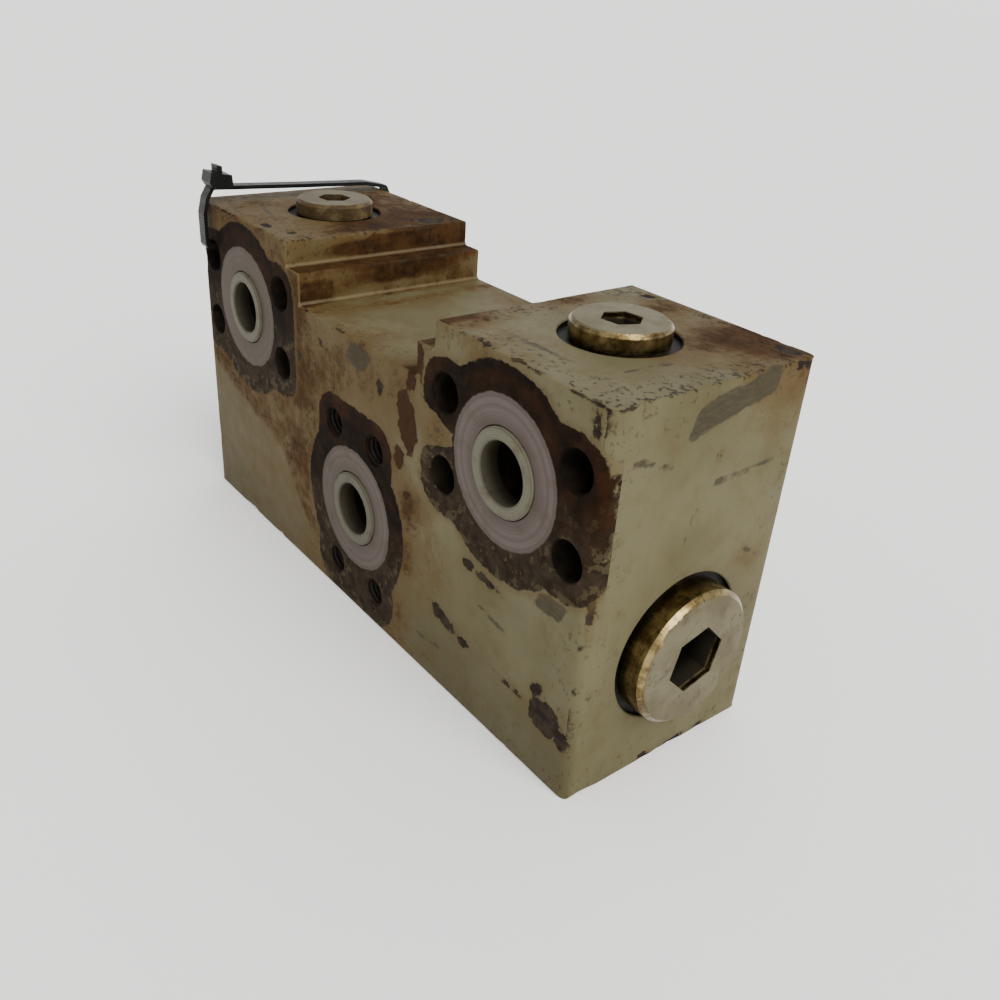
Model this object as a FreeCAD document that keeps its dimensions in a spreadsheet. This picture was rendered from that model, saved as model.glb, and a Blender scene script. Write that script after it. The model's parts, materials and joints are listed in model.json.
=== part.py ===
"""Three-port hydraulic valve block with its plugs, seals, port rings, spool, check poppets and springs.

Millimetres. The origin is the middle of the block's bottom face. +X runs along the block, +Z up, and
the three flange ports face -Y. The right and left halves mirror each other in the YZ plane.
"""

import FreeCAD, Part
import math
import os
import re

import PartDesign
import Sketcher
import Spreadsheet

# Driving dimensions: alias, millimetres (or a count), and what it is.
DIMENSIONS = [
    # block
    ("block_length", 214, "overall length along X"),
    ("block_width", 70, "port face to back face"),
    ("block_height", 112, "bottom to top face"),
    ("saddle_upper_half", 41, "half width of the upper step of the top saddle"),
    ("saddle_lower_half", 33, "half width of the saddle's floor"),
    ("saddle_upper_floor", 104, "height of the upper step"),
    ("saddle_lower_floor", 94, "height of the saddle's floor"),
    ("corner_radius", 4, "upright corners of the block"),
    ("edge_break", 0.8, "chamfer along the bottom outline"),
    # flange ports
    ("port_offset", 72, "outer ports from the middle"),
    ("port_height", 82, "axis height of the outer ports"),
    ("gallery_height", 37, "axis height of the centre port and the spool gallery"),
    ("bolt_long", 50.8, "flange bolt spacing, long side"),
    ("bolt_short", 23.8, "flange bolt spacing, short side"),
    ("through_bolt", 11, "clearance holes of the outer ports"),
    ("tap_core", 8.5, "tapped holes of the centre port, M10 core"),
    ("tap_depth", 22, "tapped hole depth"),
    ("port_bore", 19, "flow bore behind the port ring"),
    ("back_passage", 14, "flow passage from the check valve to the back port"),
    ("back_bore", 16, "back port bore"),
    ("back_bore_depth", 25.5, "back port bore depth"),
    ("ring_seat", 24.3, "recess for the port ring"),
    ("ring_depth", 5, "recess depth"),
    ("ring_outer", 24, "port ring outside"),
    ("ring_bore", 17, "port ring bore"),
    ("ring_proud", 0.8, "how far the ring stands out of the port face"),
    ("ring_edge", 0.5, "ring edge chamfer"),
    # seal grooves on the back face
    ("groove_outer", 31.75, "back seal groove, outside"),
    ("groove_inner", 24.2, "back seal groove, inside"),
    ("groove_depth", 2.8, "back seal groove depth"),
    ("back_seal_mean", 28, "back seal, middle of the section"),
    ("back_seal_section", 3.53, "back seal section"),
    # spool gallery along X, closed by the end plugs
    ("end_spot", 44, "spot face of the end plug"),
    ("end_spot_depth", 2, "spot face depth"),
    ("end_thread", 33.2, "end plug thread, major diameter"),
    ("end_thread_long", 16, "end plug thread length"),
    ("end_thread_gap", 0.1, "clearance drawn between thread and bore"),
    ("end_bore_depth", 21, "threaded bore from the end face"),
    ("end_collar", 40, "end plug collar"),
    ("end_collar_high", 8, "collar height"),
    ("end_collar_edge", 1.6, "collar edge chamfer"),
    ("end_flats", 17, "hex socket across flats"),
    ("end_socket_deep", 11, "hex socket depth"),
    ("end_seal_thick", 1, "sealing washer thickness"),
    ("gallery_bore", 22.06, "spool bore"),
    # check valve bores along Z, closed by the top plugs
    ("top_spot", 32, "spot face of the top plug"),
    ("top_spot_depth", 1.5, "spot face depth"),
    ("top_thread", 20.9, "top plug thread, major diameter"),
    ("top_thread_long", 14, "top plug thread length"),
    ("top_bore_depth", 17, "threaded bore from the top face"),
    ("top_collar", 26.5, "top plug collar"),
    ("top_collar_high", 5, "collar height"),
    ("top_collar_edge", 1.1, "collar edge chamfer"),
    ("top_flats", 10, "hex socket across flats"),
    ("top_socket_deep", 6.5, "hex socket depth"),
    ("top_seal_thick", 1, "sealing washer thickness"),
    ("check_bore", 18, "check valve bore"),
    ("check_shoulder", 56, "height of the shoulder under the seat"),
    ("check_passage", 12, "passage from the gallery up to the seat"),
    ("seat_high", 8, "check seat height"),
    ("seat_bore", 11, "check seat bore"),
    ("seat_cone", 2.5, "depth of the seat's 45 degree cone"),
    ("seat_gap", 0.15, "radial gap between the seat's cone and the closed poppet"),
    # moving pieces
    ("spool_diameter", 22, "spool lands"),
    ("spool_length", 84, "spool end to end"),
    ("spool_waist", 17.5, "spool groove under the centre port"),
    ("spool_waist_half", 10, "half length of that groove"),
    ("spool_hole", 12, "bore through the spool"),
    ("spool_feed", 5, "radial feed holes"),
    ("balance_width", 0.8, "pressure balance grooves in the lands"),
    ("balance_depth", 0.5, "depth of those grooves"),
    ("poppet_stem", 6, "poppet stem"),
    ("poppet_stem_top", 36.5, "stem top above the seat"),
    ("poppet_head_top", 2.5, "head top above the seat"),
    ("poppet_nose", 4, "nose below the seat's top"),
    ("guide_bore", 6.12, "guide bore in the top plug"),
    ("guide_depth", 10, "guide bore depth"),
    # springs and their seats
    ("main_spring_mean", 16.8, "centring spring, mean coil diameter"),
    ("main_spring_wire", 2.2, "centring spring wire"),
    ("main_spring_turns", 6, "centring spring turns"),
    ("check_spring_mean", 11.4, "check spring, mean coil diameter"),
    ("check_spring_wire", 1.5, "check spring wire"),
    ("check_spring_turns", 6, "check spring turns"),
    ("spring_gap", 0.1, "play left at each spring end"),
    ("cup_flange", 30, "spring seat flange"),
    ("cup_flange_thick", 3.8, "spring seat flange thickness"),
    ("cup_pilot", 13.6, "spring seat pilot"),
    ("cup_pilot_long", 5, "spring seat pilot length"),
    ("cup_hole", 6, "oil hole through the spring seat"),
    # cable tie through the left outer port's upper left bolt hole
    ("tie_width", 4.8, "strap width"),
    ("tie_thick", 1.3, "strap thickness"),
    ("tie_bend", 2, "strap's bend at its corners"),
    ("tie_reach", 38.4, "strap's outside from the middle plane"),
    ("tie_low", 96.7, "strap's height inside the bolt hole"),
    ("tie_head_width", 7.4, "locking head width"),
]

WORD = re.compile(r"\b[a-z_]{3,}\b(?!\()")

doc = FreeCAD.newDocument("valve_block")
sheet = doc.addObject("Spreadsheet::Sheet", "Dims")
size = {}
for row, (alias, number, note) in enumerate(DIMENSIONS, start=1):
    sheet.set(f"A{row}", note)
    sheet.set(f"B{row}", str(number))
    sheet.setAlias(f"B{row}", alias)
    size[alias] = number
doc.recompute()

sub_parts = []


def bound(text):
    """An expression with each dimension's name pointed at its cell."""
    return WORD.sub(lambda word: "Dims." + word.group(), text)


def drive(item, path, text):
    item.setExpression(path, bound(text))


def new_body(label):
    body = doc.addObject("PartDesign::Body", label)
    body.Label = label
    sub_parts.append(body)
    return body


def new_sketch(body, plane, **offset):
    """A sketch on one of the body's origin planes, shifted by expressions for x, y or z."""
    sketch = body.newObject("Sketcher::SketchObject", "Sketch")
    face = next(item for item in body.Origin.OriginFeatures if item.Role == plane)
    sketch.AttachmentSupport = [(face, "")]
    sketch.MapMode = "FlatFace"
    for axis, text in offset.items():
        drive(sketch, f".AttachmentOffset.Base.{axis}", text)
    return sketch


def pin_point(sketch, edge, end, across, up, start):
    """Hold a point at the given expressions from the sketch's origin."""
    for kind, text, first in (("DistanceX", across, start.x), ("DistanceY", up, start.y)):
        index = sketch.addConstraint(Sketcher.Constraint(kind, -1, 1, edge, end, first))
        drive(sketch, f"Constraints[{index}]", text)


def add_outline(sketch, points):
    """A closed outline of straight lines, each corner given as two expressions."""
    count = len(points)
    first = sketch.GeometryCount
    turn = 2 * math.pi / count
    start = [FreeCAD.Vector(10 * math.cos(i * turn), 10 * math.sin(i * turn)) for i in range(count)]
    for i in range(count):
        sketch.addGeometry(Part.LineSegment(start[i], start[(i + 1) % count]), False)
    for i in range(count):
        following = first + (i + 1) % count
        sketch.addConstraint(Sketcher.Constraint("Coincident", first + i, 2, following, 1))
    for i, (across, up) in enumerate(points):
        pin_point(sketch, first + i, 1, across, up, start[i])


def add_circle(sketch, across, up, diameter):
    centre = FreeCAD.Vector(1, 1)
    edge = sketch.addGeometry(Part.Circle(centre, FreeCAD.Vector(0, 0, 1), 1), False)
    pin_point(sketch, edge, 3, across, up, centre)
    index = sketch.addConstraint(Sketcher.Constraint("Diameter", edge, 2.0))
    drive(sketch, f"Constraints[{index}]", diameter)


def add_hexagon(sketch, flats):
    corner = f"{flats} / sqrt(3)"
    half = f"{flats} / 2"
    add_outline(
        sketch,
        [
            (corner, "0"),
            (f"{corner} / 2", half),
            (f"-{corner} / 2", half),
            (f"-{corner}", "0"),
            (f"-{corner} / 2", f"-{half}"),
            (f"{corner} / 2", f"-{half}"),
        ],
    )


def cutting(body, feature):
    """Recompute after a cut and make sure that it removed something."""
    before = feature.BaseFeature.Shape.Volume
    doc.recompute()
    if feature.Shape.Volume > before - 1e-3:
        raise RuntimeError(f"{body.Label}: {feature.Label} cuts nothing")
    return feature


def turn(body, points, plane="XZ_Plane"):
    """Revolve an outline of (radius, height) about the body's own Z axis."""
    sketch = new_sketch(body, plane)
    add_outline(sketch, points)
    feature = body.newObject("PartDesign::Revolution", "Turned")
    feature.Profile = sketch
    feature.ReferenceAxis = (sketch, ["V_Axis"])
    feature.Angle = 360
    doc.recompute()
    return feature


def groove(body, sketch, axis):
    feature = body.newObject("PartDesign::Groove", "Bored")
    feature.Profile = sketch
    feature.ReferenceAxis = (sketch, [axis])
    feature.Angle = 360
    return cutting(body, feature)


def pocket(body, sketch, depth=None, reverse=False):
    """A pocket of the given depth, or right through both ways."""
    feature = body.newObject("PartDesign::Pocket", "Pocket")
    feature.Profile = sketch
    feature.Reversed = reverse
    if depth is None:
        feature.Type = "ThroughAll"
        feature.Midplane = True
    else:
        drive(feature, "Length", depth)
    return cutting(body, feature)


def place(item, turned=None, **base):
    """Turn a sub-part and then move it by expressions for x, y and z."""
    item.Placement = FreeCAD.Placement(FreeCAD.Vector(), turned or FreeCAD.Rotation())
    for axis, text in base.items():
        drive(item, f".Placement.Base.{axis}", text)


def facing(x, y, z):
    """The rotation that points a sub-part's own +Z that way."""
    return FreeCAD.Rotation(FreeCAD.Vector(0, 0, 1), FreeCAD.Vector(x, y, z))


def spun(rotation, degrees):
    """The same rotation after a first turn about the sub-part's own +Z."""
    return rotation.multiply(FreeCAD.Rotation(FreeCAD.Vector(0, 0, 1), degrees))


def edges_where(shape, test):
    return [f"Edge{i}" for i, edge in enumerate(shape.Edges, start=1) if test(edge)]


SIDES = (("right", 1, ""), ("left", -1, "-"))


# ---- the block ----

def bolt_holes(sketch, x_text, z_text, wide, high, diameter):
    for right in ("-", "+"):
        for up in ("-", "+"):
            add_circle(sketch, f"{x_text} {right} {wide} / 2", f"{z_text} {up} {high} / 2", diameter)


def make_block():
    body = new_body("valve_body")
    front = new_sketch(body, "XZ_Plane")
    half = "block_length / 2"
    add_outline(
        front,
        [
            (f"-{half}", "0"),
            (half, "0"),
            (half, "block_height"),
            ("saddle_upper_half", "block_height"),
            ("saddle_upper_half", "saddle_upper_floor"),
            ("saddle_lower_half", "saddle_upper_floor"),
            ("saddle_lower_half", "saddle_lower_floor"),
            ("-saddle_lower_half", "saddle_lower_floor"),
            ("-saddle_lower_half", "saddle_upper_floor"),
            ("-saddle_upper_half", "saddle_upper_floor"),
            ("-saddle_upper_half", "block_height"),
            (f"-{half}", "block_height"),
        ],
    )
    block = body.newObject("PartDesign::Pad", "Block")
    block.Profile = front
    block.Midplane = True
    drive(block, "Length", "block_width")
    doc.recompute()

    end_x = size["block_length"] / 2
    corners = edges_where(
        block.Shape,
        lambda e: e.BoundBox.XLength < 1e-6
        and e.BoundBox.YLength < 1e-6
        and abs(abs(e.BoundBox.XMin) - end_x) < 1e-6,
    )
    rounded = body.newObject("PartDesign::Fillet", "Corners")
    rounded.Base = (block, corners)
    drive(rounded, "Radius", "corner_radius")
    doc.recompute()
    low = edges_where(rounded.Shape, lambda e: e.BoundBox.ZMax < 1e-6)
    broken = body.newObject("PartDesign::Chamfer", "BottomEdge")
    broken.Base = (rounded, low)
    drive(broken, "Size", "edge_break")
    doc.recompute()

    # spool gallery along X: spot face, threaded bore and spool bore at each end
    gallery = new_sketch(body, "XZ_Plane", y="gallery_height")
    spot_x = f"{half} - end_spot_depth"
    thread_x = f"{half} - end_bore_depth"
    thread_r = "end_thread / 2 + end_thread_gap / 2"
    add_outline(
        gallery,
        [
            (f"-{half}", "0"),
            (f"-{half}", "end_spot / 2"),
            (f"-({spot_x})", "end_spot / 2"),
            (f"-({spot_x})", thread_r),
            (f"-({thread_x})", thread_r),
            (f"-({thread_x})", "gallery_bore / 2"),
            (thread_x, "gallery_bore / 2"),
            (thread_x, thread_r),
            (spot_x, thread_r),
            (spot_x, "end_spot / 2"),
            (half, "end_spot / 2"),
            (half, "0"),
        ],
    )
    groove(body, gallery, "H_Axis")

    # check valve bore from the top face down into the gallery
    check = new_sketch(body, "XZ_Plane", x="port_offset")
    spot_z = "block_height - top_spot_depth"
    bore_z = "block_height - top_bore_depth"
    top_r = "top_thread / 2 + end_thread_gap / 2"
    add_outline(
        check,
        [
            ("0", "gallery_height"),
            ("check_passage / 2", "gallery_height"),
            ("check_passage / 2", "check_shoulder"),
            ("check_bore / 2", "check_shoulder"),
            ("check_bore / 2", bore_z),
            (top_r, bore_z),
            (top_r, spot_z),
            ("top_spot / 2", spot_z),
            ("top_spot / 2", "block_height"),
            ("0", "block_height"),
        ],
    )
    check_bore = groove(body, check, "V_Axis")

    # outer port: a flow bore from each face to the check valve, ring recess in front, seal groove behind
    flow = new_sketch(body, "XZ_Plane")
    add_circle(flow, "port_offset", "port_height", "port_bore")
    flow_bore = pocket(body, flow, "block_width / 2", reverse=True)
    outlet = new_sketch(body, "XZ_Plane")
    add_circle(outlet, "port_offset", "port_height", "back_passage")
    outlet_passage = pocket(body, outlet, "block_width / 2")
    outlet = new_sketch(body, "XZ_Plane", z="-block_width / 2")
    add_circle(outlet, "port_offset", "port_height", "back_bore")
    outlet_bore = pocket(body, outlet, "back_bore_depth", reverse=True)
    recess = new_sketch(body, "XZ_Plane", z="block_width / 2")
    add_circle(recess, "port_offset", "port_height", "ring_seat")
    ring_recess = pocket(body, recess, "ring_depth")
    ring = new_sketch(body, "XZ_Plane", z="-block_width / 2")
    add_circle(ring, "port_offset", "port_height", "groove_outer")
    add_circle(ring, "port_offset", "port_height", "groove_inner")
    seal_groove = pocket(body, ring, "groove_depth", reverse=True)

    bolts = new_sketch(body, "XZ_Plane")
    bolt_holes(bolts, "port_offset", "port_height", "bolt_long", "bolt_short", "through_bolt")
    bolt_bores = pocket(body, bolts)

    mirrored = body.newObject("PartDesign::Mirrored", "LeftHalf")
    mirrored.Originals = [
        check_bore,
        flow_bore,
        outlet_passage,
        outlet_bore,
        ring_recess,
        seal_groove,
        bolt_bores,
    ]
    middle = next(item for item in body.Origin.OriginFeatures if item.Role == "YZ_Plane")
    mirrored.MirrorPlane = (middle, [""])
    body.Tip = mirrored
    doc.recompute()

    # centre port: flow bore down to the gallery, ring recess and four tapped holes
    feed = new_sketch(body, "XZ_Plane")
    add_circle(feed, "0", "gallery_height", "port_bore")
    pocket(body, feed, "block_width / 2", reverse=True)
    recess = new_sketch(body, "XZ_Plane", z="block_width / 2")
    add_circle(recess, "0", "gallery_height", "ring_seat")
    pocket(body, recess, "ring_depth")
    taps = new_sketch(body, "XZ_Plane", z="block_width / 2")
    bolt_holes(taps, "0", "gallery_height", "bolt_short", "bolt_long", "tap_core")
    doc.recompute()
    base = body.Tip
    holes = body.newObject("PartDesign::Hole", "Taps")
    holes.Profile = taps
    holes.DepthType = "Dimension"
    holes.DrillPoint = "Angled"
    holes.Threaded = False
    drive(holes, "Diameter", "tap_core")
    drive(holes, "Depth", "tap_depth")
    doc.recompute()
    if holes.Shape.Volume > base.Shape.Volume - 1e-3:
        raise RuntimeError("the tapped holes cut nothing")
    return body


# ---- turned pieces: plugs, washers, rings, seats ----

def make_plug(label, kind, guide):
    """A collar plug with a hex socket. Its own origin is the middle of the collar's outer face."""
    body = new_body(label)
    collar = f"{kind}_collar / 2"
    edge = f"{kind}_collar_edge"
    under = f"-{kind}_collar_high"
    thread = f"{kind}_thread / 2"
    end = f"-({kind}_collar_high + {kind}_thread_long)"
    relief = f"{thread} - edge_break"
    points = [
        ("0", "0"),
        (f"{collar} - {edge}", "0"),
        (collar, f"-{edge}"),
        (collar, under),
        (relief, under),
        (relief, f"{under} - 2 * edge_break"),
        (thread, f"{under} - 3 * edge_break"),
        (thread, f"{end} + edge_break"),
        (relief, end),
    ]
    if guide:
        roof = f"{end} + guide_depth"
        points += [("guide_bore / 2", end), ("guide_bore / 2", roof), ("0", roof)]
    else:
        points += [("0", end)]
    turn(body, points)
    socket = new_sketch(body, "XY_Plane")
    add_hexagon(socket, f"{kind}_flats")
    pocket(body, socket, f"{kind}_socket_deep")
    return body


def make_washer(label, inner, outer, low, high):
    body = new_body(label)
    turn(body, [(inner, low), (outer, low), (outer, high), (inner, high)])
    return body


def make_port_ring(label):
    """A short sleeve. Its own origin is the middle of its front face."""
    body = new_body(label)
    back = "-(ring_depth + ring_proud)"
    turn(
        body,
        [
            ("ring_bore / 2 + ring_edge", "0"),
            ("ring_outer / 2 - ring_edge", "0"),
            ("ring_outer / 2", "-ring_edge"),
            ("ring_outer / 2", back),
            ("ring_bore / 2", back),
            ("ring_bore / 2", "-ring_edge"),
        ],
    )
    return body


def make_spring_cup(label):
    """The centring spring's seat. Its own +Z points from the plug to the spool."""
    body = new_body(label)
    top = "cup_flange_thick + cup_pilot_long"
    turn(
        body,
        [
            ("cup_hole / 2", "0"),
            ("cup_flange / 2", "0"),
            ("cup_flange / 2", "cup_flange_thick"),
            ("cup_pilot / 2", "cup_flange_thick"),
            ("cup_pilot / 2", f"{top} - edge_break"),
            ("cup_pilot / 2 - edge_break", top),
            ("cup_hole / 2", top),
        ],
    )
    return body


def make_check_seat(label):
    """The poppet's seat. Its own origin is the middle of its top face."""
    body = new_body(label)
    outer = "check_bore / 2 - end_thread_gap / 5"
    turn(
        body,
        [
            ("seat_bore / 2", "-seat_high"),
            (outer, "-seat_high"),
            (outer, "0"),
            ("seat_bore / 2 + seat_cone", "0"),
            ("seat_bore / 2", "-seat_cone"),
        ],
    )
    return body


# ---- moving pieces ----

def make_spool():
    """A hollow spool about its own Z axis, with a waist under the centre port."""
    body = new_body("divider_spool")
    land = "spool_diameter / 2"
    end = "spool_length / 2"
    cut = f"{land} - balance_depth"
    points = [
        ("spool_hole / 2", f"-{end}"),
        (f"{land} - edge_break", f"-{end}"),
        (land, f"-{end} + edge_break"),
    ]
    spacing = "(spool_length / 2 - spool_waist_half) / 4"
    for place_along in (3, 2, 1):
        low = f"-spool_waist_half - {place_along} * {spacing}"
        points += [(land, low), (cut, low)]
        points += [(cut, f"{low} + balance_width"), (land, f"{low} + balance_width")]
    points += [(land, "-spool_waist_half"), ("spool_waist / 2", "-spool_waist_half")]
    points += [("spool_waist / 2", "spool_waist_half"), (land, "spool_waist_half")]
    for place_along in (1, 2, 3):
        high = f"spool_waist_half + {place_along} * {spacing}"
        points += [(land, f"{high} - balance_width"), (cut, f"{high} - balance_width")]
        points += [(cut, high), (land, high)]
    points += [(land, f"{end} - edge_break"), (f"{land} - edge_break", end), ("spool_hole / 2", end)]
    turn(body, points)
    for plane in ("XZ_Plane", "YZ_Plane"):
        feed = new_sketch(body, plane)
        add_circle(feed, "0", "0", "spool_feed")
        pocket(body, feed)
    return body


def make_poppet(label):
    """A coned poppet with a guide stem. Its own origin is level with its seat's top face."""
    body = new_body(label)
    rim = "seat_bore / 2 + seat_cone - seat_gap"
    nose = f"{rim} - poppet_nose"
    turn(
        body,
        [
            ("0", "-poppet_nose"),
            (nose, "-poppet_nose"),
            (rim, "0"),
            (rim, "poppet_head_top"),
            ("poppet_stem / 2", "poppet_head_top"),
            ("poppet_stem / 2", "poppet_stem_top - edge_break"),
            ("poppet_stem / 2 - edge_break", "poppet_stem_top"),
            ("0", "poppet_stem_top"),
        ],
    )
    return body


def make_spring(label, kind, room):
    """A round-wire coil along its own Z axis that fills the given room, less a little play."""
    wire = f"{kind}_spring_wire"
    coil = doc.addObject("Part::Helix", f"{label}_path")
    drive(coil, "Radius", f"{kind}_spring_mean / 2")
    drive(coil, "Height", f"{room} - {wire} - 2 * spring_gap")
    drive(coil, "Pitch", f"({room} - {wire} - 2 * spring_gap) / {kind}_spring_turns")
    drive(coil, ".Placement.Base.z", f"{wire} / 2 + spring_gap")
    coil.SegmentLength = 1
    section = doc.addObject("Part::Circle", f"{label}_section")
    drive(section, "Radius", f"{wire} / 2")
    section.Placement = FreeCAD.Placement(FreeCAD.Vector(), facing(0, 1, 0))
    drive(section, ".Placement.Base.x", f"{kind}_spring_mean / 2")
    drive(section, ".Placement.Base.z", f"{wire} / 2 + spring_gap")
    doc.recompute()
    spring = doc.addObject("Part::Sweep", label)
    spring.Label = label
    spring.Sections = [section]
    spring.Spine = (coil, [f"Edge{i}" for i in range(1, len(coil.Shape.Edges) + 1)])
    spring.Solid = True
    spring.Frenet = True
    sub_parts.append(spring)
    return spring


# ---- cable tie ----

def make_cable_tie():
    """A strap loop over the block's top edge and through a bolt hole, with its locking head."""
    body = new_body("cable_tie")
    loop = new_sketch(body, "YZ_Plane")
    add_outline(
        loop,
        [
            ("-tie_reach", "tie_low"),
            ("tie_reach", "tie_low"),
            ("tie_reach", "block_height - 4"),
            ("block_width / 2 + 1", "block_height + 1.8"),
            ("block_width / 2 - 8", "block_height + 3.6"),
            ("0", "block_height + 4.6"),
            ("-(block_width / 2 - 8)", "block_height + 5.8"),
            ("-block_width / 2 + 0.3", "block_height + 6.2"),
            ("-block_width / 2 - 2.1", "block_height + 2.2"),
            ("-tie_reach", "block_height - 3"),
        ],
    )
    slab = body.newObject("PartDesign::Pad", "Slab")
    slab.Profile = loop
    slab.Midplane = True
    drive(slab, "Length", "tie_width")
    doc.recompute()
    bends = edges_where(slab.Shape, lambda e: e.BoundBox.YLength < 1e-6 and e.BoundBox.ZLength < 1e-6)
    rounded = body.newObject("PartDesign::Fillet", "Bends")
    rounded.Base = (slab, bends)
    drive(rounded, "Radius", "tie_bend")
    doc.recompute()
    flat_sides = [
        f"Face{i}" for i, face in enumerate(rounded.Shape.Faces, start=1) if face.BoundBox.XLength < 1e-6
    ]
    strap = body.newObject("PartDesign::Thickness", "Strap")
    strap.Base = (rounded, flat_sides)
    strap.Reversed = True
    strap.Join = 0
    drive(strap, "Value", "tie_thick")
    doc.recompute()
    head = new_sketch(body, "YZ_Plane")
    add_outline(
        head,
        [
            ("-block_width / 2 - 0.8", "block_height + 7.4"),
            ("-block_width / 2", "block_height + 10.9"),
            ("-block_width / 2 + 7.4", "block_height + 9.6"),
            ("-block_width / 2 + 7.8", "block_height + 4.9"),
            ("-block_width / 2 + 0.4", "block_height + 5.4"),
        ],
    )
    lock = body.newObject("PartDesign::Pad", "Head")
    lock.Profile = head
    lock.Midplane = True
    drive(lock, "Length", "tie_head_width")
    doc.recompute()
    tail = new_sketch(body, "YZ_Plane")
    add_outline(
        tail,
        [
            ("-block_width / 2 + 2.6", "block_height + 9"),
            ("-block_width / 2 + 2.6", "block_height + 12.9"),
            ("-block_width / 2 + 4.5", "block_height + 12.5"),
            ("-block_width / 2 + 4.5", "block_height + 9"),
        ],
    )
    stub = body.newObject("PartDesign::Pad", "Tail")
    stub.Profile = tail
    stub.Midplane = True
    drive(stub, "Length", "tie_width")
    doc.recompute()
    return body


# ---- assembly ----

END_FACE = "block_length / 2 + end_collar_high + end_seal_thick - end_spot_depth"
TOP_FACE = "block_height + top_collar_high + top_seal_thick - top_spot_depth"
SEAT_TOP = "(check_shoulder + seat_high)"
PLUG_END = "(block_height - top_spot_depth + top_seal_thick - top_thread_long)"
CUP_BACK = "(block_length / 2 - end_spot_depth + end_seal_thick - end_thread_long - spring_gap)"

# where the hex sockets stop turning when the plugs are tight, in degrees
END_PLUG_TURN = -15
TOP_PLUG_TURN = 7

make_block()
for side, way, sign in SIDES:
    outward = facing(way, 0, 0)
    inward = facing(-way, 0, 0)

    plug = make_plug(f"end_plug_{side}", "end", guide=False)
    place(plug, spun(outward, END_PLUG_TURN), x=f"{sign}({END_FACE})", z="gallery_height")
    washer = make_washer(
        f"end_plug_seal_{side}",
        "end_thread / 2 + end_thread_gap",
        "end_collar / 2 - end_seal_thick / 2",
        "0",
        "end_seal_thick",
    )
    place(washer, outward, x=f"{sign}(block_length / 2 - end_spot_depth)", z="gallery_height")

    plug = make_plug(f"top_plug_{side}", "top", guide=True)
    place(plug, spun(FreeCAD.Rotation(), TOP_PLUG_TURN), x=f"{sign}port_offset", z=TOP_FACE)
    washer = make_washer(
        f"top_plug_seal_{side}",
        "top_thread / 2 + end_thread_gap",
        "top_collar / 2 - top_seal_thick / 2",
        "0",
        "top_seal_thick",
    )
    place(washer, x=f"{sign}port_offset", z="block_height - top_spot_depth")

    ring = make_port_ring(f"port_ring_{side}")
    place(ring, facing(0, -1, 0), x=f"{sign}port_offset", y="-block_width / 2 - ring_proud", z="port_height")

    back_seal = doc.addObject("Part::Torus", f"back_seal_{side}")
    back_seal.Label = f"back_seal_{side}"
    drive(back_seal, "Radius1", "back_seal_mean / 2")
    drive(back_seal, "Radius2", "back_seal_section / 2")
    floor = "block_width / 2 - groove_depth + back_seal_section / 2"
    place(back_seal, facing(0, 1, 0), x=f"{sign}port_offset", y=f"{floor} + 0.01", z="port_height")
    sub_parts.append(back_seal)

    seat = make_check_seat(f"check_seat_{side}")
    place(seat, x=f"{sign}port_offset", z=SEAT_TOP)
    poppet = make_poppet(f"check_poppet_{side}")
    place(poppet, x=f"{sign}port_offset", z=SEAT_TOP)
    spring = make_spring(f"check_spring_{side}", "check", f"({PLUG_END} - {SEAT_TOP} - poppet_head_top)")
    place(spring, x=f"{sign}port_offset", z=f"{SEAT_TOP} + poppet_head_top")

    cup = make_spring_cup(f"spring_seat_{side}")
    place(cup, inward, x=f"{sign}{CUP_BACK}", z="gallery_height")
    room = f"({CUP_BACK} - cup_flange_thick - spool_length / 2)"
    spring = make_spring(f"centring_spring_{side}", "main", room)
    place(spring, outward, x=f"{sign}spool_length / 2", z="gallery_height")

ring = make_port_ring("port_ring_centre")
place(ring, facing(0, -1, 0), y="-block_width / 2 - ring_proud", z="gallery_height")
spool = make_spool()
place(spool, facing(1, 0, 0), z="gallery_height")
tie = make_cable_tie()
place(tie, x="-(port_offset + bolt_long / 2)")

doc.recompute()

for item in doc.Objects:
    if "Invalid" in item.State or "Error" in item.State:
        raise RuntimeError(f"{item.Label} failed: {item.State}")
for item in sub_parts:
    if item.Shape.isNull() or not item.Shape.isValid() or len(item.Shape.Solids) != 1:
        raise RuntimeError(f"{item.Label} has no single valid solid")

os.makedirs("parts", exist_ok=True)
for item in sub_parts:
    item.Shape.exportStep(f"parts/{item.Label}.step")
    print(f"{item.Label}: {item.Shape.Volume / 1000:.2f} cm3")
print(f"{len(sub_parts)} sub-parts written")
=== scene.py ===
import json
import math

import bmesh
import bpy
import numpy as np
from mathutils import Matrix, Vector
from mathutils.geometry import delaunay_2d_cdt


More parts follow.
